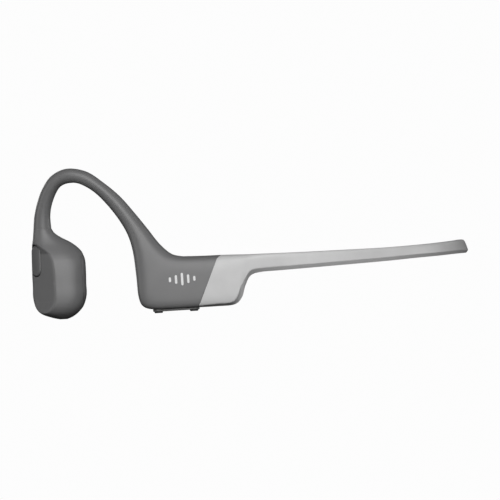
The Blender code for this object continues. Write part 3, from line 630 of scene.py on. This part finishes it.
def silicone(name, colour, roughness, edge_lift=1.12, grain_mm=0.12):
    """Matte moulded silicone: fine blasted grain, slight mottling, and edges polished by handling."""
    made, nodes, links, shader = node_material(name, colour, roughness)
    mottling = spread(nodes, links, noise(nodes, links, MOTTLE_MM), 0.0, 1.0)
    plain = tinted(nodes, links, mottling, scaled(colour, 0.97), scaled(colour, 1.03))
    geometry = nodes.new("ShaderNodeNewGeometry")
    edges = spread(nodes, links, geometry.outputs["Pointiness"], 0.0, 1.0, *EDGE_POINTINESS)
    worn = nodes.new("ShaderNodeMix")
    worn.data_type = "RGBA"
    worn.inputs["B"].default_value = (*scaled(colour, edge_lift), 1)
    links.new(edges, worn.inputs["Factor"])
    links.new(plain, worn.inputs["A"])
    links.new(worn.outputs["Result"], shader.inputs["Base Color"])
    grain = noise(nodes, links, grain_mm, 4.0)
    dull = spread(nodes, links, grain, roughness - 0.05, roughness + 0.07)
    links.new(dull, shader.inputs["Roughness"])
    bumped(nodes, links, shader, grain, 0.1, 0.012)
    return made


def moulded(name, colour, roughness, grain_mm=0.25):
    """Hard moulded plastic with a spark-eroded texture."""
    made, nodes, links, shader = node_material(name, colour, roughness)
    grain = noise(nodes, links, grain_mm, 2.0)
    tone = tinted(nodes, links, grain, scaled(colour, 0.85), scaled(colour, 1.15))
    links.new(tone, shader.inputs["Base Color"])
    dull = spread(nodes, links, grain, roughness - 0.08, roughness + 0.08)
    links.new(dull, shader.inputs["Roughness"])
    bumped(nodes, links, shader, grain, 0.3, 0.01)
    return made


def metal(name, colour, roughness, stretch=(1, 1, 12), grain_mm=0.8):
    """Metal with fine drawing or turning marks along one direction."""
    made, nodes, links, shader = node_material(name, colour, roughness, 1.0)
    marks = noise(nodes, links, grain_mm, 5.0, stretch)
    tone = tinted(nodes, links, marks, scaled(colour, 0.85), scaled(colour, 1.1))
    links.new(tone, shader.inputs["Base Color"])
    dull = spread(nodes, links, marks, roughness - 0.1, roughness + 0.12)
    links.new(dull, shader.inputs["Roughness"])
    bumped(nodes, links, shader, marks, 0.2, 0.01)
    return made


def winding(name, colour):
    """Enamelled wire wound in close turns about the motor's axis."""
    made, nodes, links, shader = node_material(name, colour, 0.28, 1.0)
    place = nodes.new("ShaderNodeTexCoord")
    turns = nodes.new("ShaderNodeTexWave")
    turns.bands_direction = "Y"
    turns.inputs["Scale"].default_value = 1 / (TURN_MM * MM)
    turns.inputs["Distortion"].default_value = 0.4
    links.new(place.outputs["Object"], turns.inputs["Vector"])
    tone = tinted(nodes, links, turns.outputs["Fac"], scaled(colour, 0.6), colour)
    links.new(tone, shader.inputs["Base Color"])
    bumped(nodes, links, shader, turns.outputs["Fac"], 0.6, 0.05)
    return made


def board(name, colour):
    """Solder mask over a copper pattern."""
    made, nodes, links, shader = node_material(name, colour, 0.35)
    place = nodes.new("ShaderNodeTexCoord")
    tracks = nodes.new("ShaderNodeTexBrick")
    tracks.inputs["Scale"].default_value = 1 / (TRACK_MM * MM)
    tracks.inputs["Mortar Size"].default_value = 0.03
    tracks.inputs["Color1"].default_value = (*colour, 1)
    tracks.inputs["Color2"].default_value = (*scaled(colour, 0.8), 1)
    tracks.inputs["Mortar"].default_value = (*scaled(colour, 1.9), 1)
    links.new(place.outputs["Object"], tracks.inputs["Vector"])
    links.new(tracks.outputs["Color"], shader.inputs["Base Color"])
    bumped(nodes, links, shader, tracks.outputs["Fac"], 0.3, 0.03)
    return made


def print_ink(name, colour):
    """Pad-printed ink, slightly uneven."""
    made, nodes, links, shader = node_material(name, colour, 0.5)
    cover = spread(nodes, links, noise(nodes, links, 0.3, 3.0), 0.0, 1.0)
    tone = tinted(nodes, links, cover, scaled(colour, 0.9), colour)
    links.new(tone, shader.inputs["Base Color"])
    return made


def make_materials():
    return {
        "dark": silicone("dark_silicone", (0.152, 0.152, 0.153), 0.43),
        "button": silicone("button_silicone", (0.118, 0.118, 0.119), 0.45),
        "light": silicone("light_silicone", (0.575, 0.575, 0.575), 0.43, 1.05),
        "pad": silicone("pad_silicone", (0.105, 0.105, 0.106), 0.58, 1.15, 0.2),
        # Lit copy of the dark plastic for the key plate: painted light, a lighter colour standing in for the
        # light its edge catches
        "plate": moulded("dark_plastic_lit_copy", (0.13, 0.13, 0.13), 0.38),
        "hard": moulded("dark_plastic", (0.055, 0.055, 0.057), 0.42),
        "core": moulded("core_plastic", (0.03, 0.03, 0.03), 0.5, 0.4),
        "titanium": metal("titanium", (0.60, 0.58, 0.56), 0.32),
        "steel": metal("steel", (0.62, 0.62, 0.62), 0.28, (1, 1, 6), 0.5),
        "copper": winding("copper", (0.75, 0.36, 0.18)),
        "gold": metal("gold_plate", (0.85, 0.62, 0.25), 0.22, (1, 1, 3), 0.4),
        "board": board("circuit_board", (0.02, 0.16, 0.07)),
        "lead": moulded("lead_jacket", (0.02, 0.02, 0.02), 0.45, 0.5),
        "foil": metal("battery_foil", (0.70, 0.70, 0.72), 0.35, (3, 1, 1), 1.5),
        "ink": print_ink("print_ink", (0.82, 0.82, 0.82)),
        "clear": moulded("light_pipe", (0.85, 0.85, 0.85), 0.25, 0.6),
    }


SLOT_LOOKS = {
    "dark_silicone": "dark",
    "light_silicone": "light",
    "pad_silicone": "pad",
    "dark_plastic": "hard",
    "core_plastic": "core",
    "titanium": "titanium",
    "steel": "steel",
    "copper": "copper",
    "gold_plate": "gold",
    "circuit_board": "board",
    "lead_jacket": "lead",
    "battery_foil": "foil",
    "light_pipe": "clear",
}


def dress_cad_nodes():
    """Every carried-over CAD node gets the look of its material slot."""
    for subpart in frame["record"]["subparts"]:
        node = frame["nodes"][subpart["node"]]
        node.data.materials.clear()
        node.data.materials.append(LOOKS[SLOT_LOOKS[subpart["material_slot"]]])


def finish_piece(piece, look, body, slot, *nodes):
    """Dresses a new piece, hangs it on its body and lets it stand for CAD nodes."""
    piece.data.materials.clear()
    piece.data.materials.append(LOOKS[look])
    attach(piece, body)
    if nodes:
        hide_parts(*nodes)
    return piece


# ---------------------------------------------------------------- pieces


def parting_groove(side):
    """A fine groove round the pod's back, where the skin-side half of the shell meets the outer one."""
    low, high = PART_OUT
    box = bmesh.new()
    bmesh.ops.create_cube(box, size=1.0)
    middle = Vector((PART_X[0] + PART_X[1], side * (low + high), PART_Z[0] + PART_Z[1])) / 2
    size = (PART_X[1] - PART_X[0], high - low, PART_Z[1] - PART_Z[0])
    slab = object_from("slab", box, Matrix.Translation(middle) @ Matrix.Diagonal((*size, 1)))
    rings = [pod_ring(side, s, AROUND_POD // 2, PART_DEPTH) for s in all_through(POD_SECTIONS[1:], 4)]
    cut(slab, object_from("kernel", loft(rings)))
    return slab


def make_pod(side):
    name = SIDE_NAMES[side]

    def ring_at(t):
        return pod_ring(side, through(POD_SECTIONS, t), AROUND_POD)

    rings = eased_ends(ring_at, len(POD_SECTIONS) - 1, STEPS_POD, at_start=False)
    skin = object_from(name + "_pod_skin", loft(rings))
    cutters = [*pod_hollows(side), parting_groove(side)]
    if side == LEFT:
        slot_size = grown(BUTTON_SIZE, BUTTON_GAP)
        slot_profile = straight(SLOT_DEPTHS)
        cutters.append(plate("slot", slot_size, slot_size[0] / 2, slot_profile, facet_frame(side)))
    cut(skin, *cutters)
    finish_piece(skin, "dark", SIDE_BODIES[side], "dark_silicone", name + "_pod_shell")
    pad_profile = list(reversed(soft_edge(PAD_EDGE, PAD_BACK, -PAD_PROUD, 7)))
    pad = plate(name + "_skin_pad", PAD_SIZE, PAD_CORNER, pad_profile, skin_frame(side), 18)
    finish_piece(pad, "pad", SIDE_BODIES[side], "pad_silicone", name + "_contact_pad")


def pod_hollows(side):
    """What is cut from the pod: its inside, the pad's mouth, the motor's room, the neck's bore, a port."""
    hollow = [through(POD_SECTIONS, i / 2) for i in HOLLOW_STEPS]
    cavity_rings = [pod_ring(side, s, AROUND_CAVITY, POD_WALL) for s in hollow]
    cavity = object_from("cavity", loft(cavity_rings))
    mouth_corner, mouth_profile = PAD_CORNER + SLOT_GAP, straight(MOUTH_DEPTHS)
    mouth = plate("mouth", grown(PAD_SIZE, SLOT_GAP), mouth_corner, mouth_profile, skin_frame(side))
    room = disc("room", MOTOR_ROOM_RADIUS, 0, MOTOR_ROOM_DEPTH, skin_frame(side, MOTOR_U, MOTOR_Z))
    neck = tube("neck", hook_path(side, NECK_BORE_LOW, 1), BORE_RADIUS, AROUND_BORE)
    x, out, z = MIC_PORT
    port_place = frame_at((x, side * out, z), (0, 1, 0), (0, 0, 1))
    port = disc("port", MIC_PORT_RADIUS, -MIC_PORT_HALF, MIC_PORT_HALF, port_place)
    return cavity, mouth, room, neck, port


def make_button():
    profile = soft_edge(BUTTON_EDGE, BUTTON_PROUD - BUTTON_HEIGHT, BUTTON_PROUD, 6)
    button = plate("button_cap", BUTTON_SIZE, BUTTON_SIZE[0] / 2, profile, facet_frame(LEFT), 20)
    finish_piece(button, "button", "multifunction_cap", "dark_silicone", "multifunction_button")


def core_cutter(side):
    """Room for the plastic core and the gap round it."""
    size = grown((CORE_X[1] - CORE_X[0], CORE_Z[1] - CORE_Z[0]), SLOT_GAP)
    middle = ((CORE_X[0] + CORE_X[1]) / 2, side * CORE_OUT, (CORE_Z[0] + CORE_Z[1]) / 2)
    half = CORE_HALF + SLOT_GAP
    place = frame_at(middle, (1, 0, 0), (0, 0, 1))
    return plate("core", size, CORE_CORNER + SLOT_GAP, straight((-half, half)), place, 8)


def bezel_seat():
    size = grown((BEZEL_X[1] - BEZEL_X[0], BEZEL_WIDTH), SLOT_GAP)
    return plate("seat", size, BEZEL_CORNER + SLOT_GAP, straight(SEAT_DEPTHS), bezel_frame(), 8)


def bezel_frame(x=None):
    middle = (BEZEL_X[0] + BEZEL_X[1]) / 2 if x is None else x
    return frame_at((middle, CORE_OUT, 0), (1, 0, 0), (0, 1, 0))


def make_hook(side):
    name = SIDE_NAMES[side]

    def ring_at(t):
        return station_ring(side, through(HOOK_STATIONS, t))

    rings = eased_ends(ring_at, len(HOOK_STATIONS) - 1, STEPS_SKIN)
    skin = object_from(name + "_hook_skin", loft(rings))
    bore = tube("bore", hook_path(side, HOOK_BORE_LOW), BORE_RADIUS, AROUND_BORE)
    cutters = [core_cutter(side), bore]
    if side == RIGHT:
        cutters.append(bezel_seat())
    cut(skin, *cutters)
    finish_piece(skin, "dark", SIDE_BODIES[side], "dark_silicone", name + "_hook_cover")
    make_print(side, skin)


def skin_finder(skin, side):
    """A function that says how far out the skin lies at an x and z."""
    faces = [tuple(face.vertices) for face in skin.data.polygons]
    tree = BVHTree.FromPolygons([vertex.co for vertex in skin.data.vertices], faces)

    def find(x, z):
        hit = tree.ray_cast(Vector((x, side * FAR_OUT, z)) * MM, Vector((0, -side, 0)))[0]
        return abs(hit.y) / MM

    return find


def make_print(side, skin):
    """A generic print on the housing: five bars, like a level meter."""
    out_at = skin_finder(skin, side)
    shape = bmesh.new()
    for k, height in enumerate(BAR_HEIGHTS):
        middle = BARS_X + (k - (len(BAR_HEIGHTS) - 1) / 2) * BAR_PITCH
        outline = rounded_outline((BAR_WIDTH, height), BAR_WIDTH / 2, 6)
        spots = [(middle + u, BARS_Z + v) for u, v in outline]
        low, high = (
            [shape.verts.new((x, side * (out_at(x, z) + lift), z)) for x, z in spots]
            for lift in (-BAR_DEPTH, BAR_PROUD)
        )
        count = len(spots)
        for i in range(count):
            j = (i + 1) % count
            shape.faces.new((low[i], low[j], high[j], high[i]))
        shape.faces.new(list(reversed(low)))
        shape.faces.new(high)
    made = object_from(SIDE_NAMES[side] + "_print", shape)
    finish_piece(made, "ink", SIDE_BODIES[side], "light_silicone")


def make_band():
    """The one-piece light sleeve from side to side round the nape, and what is in it."""
    skin = object_from("band_skin", loft(band_rings()))
    bore = tube("bore", band_path(0, BAND_BORE_X), BORE_RADIUS, AROUND_BORE)
    cut(skin, core_cutter(LEFT), core_cutter(RIGHT), bore, bezel_seat())
    finish_bending(skin, "light", "light_silicone", "band_sleeve_left", "band_sleeve_right")
    wire = tube("band_wire", band_path(WIRE_OFFSET), WIRE_RADIUS, AROUND_WIRE)
    finish_bending(wire, "titanium", "titanium", "band_wire_left", "band_wire_right")
    lead = tube("band_lead", band_path(-WIRE_OFFSET), LEAD_RADIUS, AROUND_WIRE)
    finish_bending(lead, "lead", "lead_jacket", "band_lead_left", "band_lead_right")


def finish_bending(piece, look, slot, *nodes):
    """Dresses a piece of the band, bakes its place into the mesh, and lets it stand for the halves of the
    CAD nodes.
    """
    piece.data.materials.clear()
    piece.data.materials.append(LOOKS[look])
    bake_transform(piece)
    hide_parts(*nodes)


def make_controls():
    """The key plate under the right housing, with its charge port, holes and keys."""
    size = (BEZEL_X[1] - BEZEL_X[0], BEZEL_WIDTH)
    profile = list(reversed(soft_edge(BEZEL_EDGE, BEZEL_Z[1], BEZEL_Z[0])))
    bezel = plate("key_plate", size, BEZEL_CORNER, profile, bezel_frame(), 10)
    port_profile = straight((BEZEL_Z[0] - 1, BEZEL_Z[0] + PORT_DEPTH))
    cutters = [plate("port", PORT_SIZE, PORT_CORNER, port_profile, bezel_frame(PORT_X), 8)]
    hole_size, hole_profile = grown(KEY_SIZE, SLOT_GAP), straight(HOLE_DEPTHS)
    for x in KEY_XS.values():
        cutters.append(plate("hole", hole_size, KEY_HOLE_CORNER, hole_profile, bezel_frame(x), 8))
    for step in (-0.5, 0.5):
        pin_place = bezel_frame(PORT_X + step * PIN_PITCH)
        cutters.append(disc("hole", PIN_RADIUS + SLOT_GAP, 0, HOLE_DEPTHS[1], pin_place))
    lamp_place = frame_at((LAMP_X, LAMP_OUT, 0), (1, 0, 0), (0, 1, 0))
    cutters.append(disc("hole", LAMP_RADIUS + LAMP_GAP, 0, HOLE_DEPTHS[1], lamp_place))
    cut(bezel, *cutters)
    # The key plate takes the lighter, painted-light copy of the dark plastic that the keys are made of
    finish_piece(bezel, "plate", "right_side", "dark_plastic", "key_bezel")
    for key, x in KEY_XS.items():
        make_key(key, x)


def make_key(key, x):
    """A cap with a flange behind the bezel, and a plus or minus sunk in its face."""
    low, high = KEY_FLANGE_Z
    profile = list(reversed(soft_edge(KEY_EDGE, low, KEY_BOTTOM)))
    profile += [(-KEY_FLANGE_PROUD, low), (-KEY_FLANGE_PROUD, high)]
    profile += [(KEY_STEM_INSET, high), (KEY_STEM_INSET, KEY_TOP)]
    cap = plate(key + "_cap", KEY_SIZE, KEY_CORNER, profile, bezel_frame(x), 10)
    groove = straight((KEY_BOTTOM - 0.5, KEY_BOTTOM + MARK_DEPTH))
    turns = (0, pi / 2) if key == "volume_up" else (0,)
    for turn in turns:
        place = bezel_frame(x) @ Matrix.Rotation(turn, 4, "Z")
        cut(cap, plate("mark", MARK_SIZE, MARK_SIZE[1] / 2, groove, place, 6))
    finish_piece(cap, "hard", key + "_cap", "dark_plastic", key + "_key")


LOOKS = make_materials()
dress_cad_nodes()
for each_side in (LEFT, RIGHT):
    make_pod(each_side)
    make_hook(each_side)
make_button()
make_band()
make_controls()


# ---------------------------------------------------------------- stage, light and camera


def make_camera():
    data = bpy.data.cameras.new("camera")
    data.type = "ORTHO"
    data.ortho_scale = VIEW_WIDTH * MM
    data.clip_start, data.clip_end = 0.01, 10.0
    camera = bpy.data.objects.new("camera", data)
    right = Vector((cos(VIEW_TILT), 0, -sin(VIEW_TILT)))
    up = Vector((sin(VIEW_TILT), 0, cos(VIEW_TILT)))
    origin = Vector((VIEW_MIDDLE[0], -VIEW_DISTANCE, VIEW_MIDDLE[1])) * MM
    camera.matrix_world = frame_at(origin, right, up)
    bpy.context.scene.collection.objects.link(camera)
    bpy.context.scene.camera = camera


def make_world():
    """White to the camera, and a dim grey room to everything else."""
    world = bpy.data.worlds.new("studio")
    world.use_nodes = True
    nodes, links = world.node_tree.nodes, world.node_tree.links
    room = nodes["Background"]
    room.inputs["Color"].default_value = (ROOM_GREY, ROOM_GREY, ROOM_GREY, 1)
    room.inputs["Strength"].default_value = ROOM_STRENGTH
    backdrop = nodes.new("ShaderNodeBackground")
    backdrop.inputs["Color"].default_value = (BACKDROP_WHITE, BACKDROP_WHITE, BACKDROP_WHITE, 1)
    path = nodes.new("ShaderNodeLightPath")
    mix = nodes.new("ShaderNodeMixShader")
    links.new(path.outputs["Is Camera Ray"], mix.inputs["Fac"])
    links.new(room.outputs["Background"], mix.inputs[1])
    links.new(backdrop.outputs["Background"], mix.inputs[2])
    links.new(mix.outputs["Shader"], nodes["World Output"].inputs["Surface"])
    bpy.context.scene.world = world


def make_light(name, azimuth, elevation, width, power):
    """A soft square panel round the object: azimuth 0 is where the camera is, and 90 is at +X."""
    azimuth, elevation = radians(azimuth), radians(elevation)
    level = cos(elevation)
    towards = Vector((sin(azimuth) * level, -cos(azimuth) * level, sin(elevation)))
    data = bpy.data.lights.new(name, "AREA")
    data.shape = "SQUARE"
    data.size = width * MM
    data.energy = power
    panel = bpy.data.objects.new(name, data)
    panel.location = (towards * LIGHT_DISTANCE + Vector((0, 0, VIEW_MIDDLE[1]))) * MM
    panel.rotation_mode = "QUATERNION"
    panel.rotation_quaternion = (-towards).to_track_quat("-Z", "Y")
    panel.visible_camera = False
    bpy.context.scene.collection.objects.link(panel)


def make_floor():
    """A pale floor that takes a soft shadow and throws no light back up."""
    made = bmesh.new()
    bmesh.ops.create_grid(made, x_segments=2, y_segments=2, size=FLOOR_REACH)
    floor = object_from("floor", made, Matrix.Translation((0, 0, FLOOR_Z)))
    floor.is_shadow_catcher = True
    floor.visible_diffuse = floor.visible_glossy = False
    material = node_material("floor", (FLOOR_GREY, FLOOR_GREY, FLOOR_GREY), FLOOR_ROUGHNESS)[0]
    floor.data.materials.append(material)


make_camera()
make_world()
for light in LIGHTS:
    make_light(*light)
make_floor()
bpy.context.scene.view_settings.view_transform = "Standard"
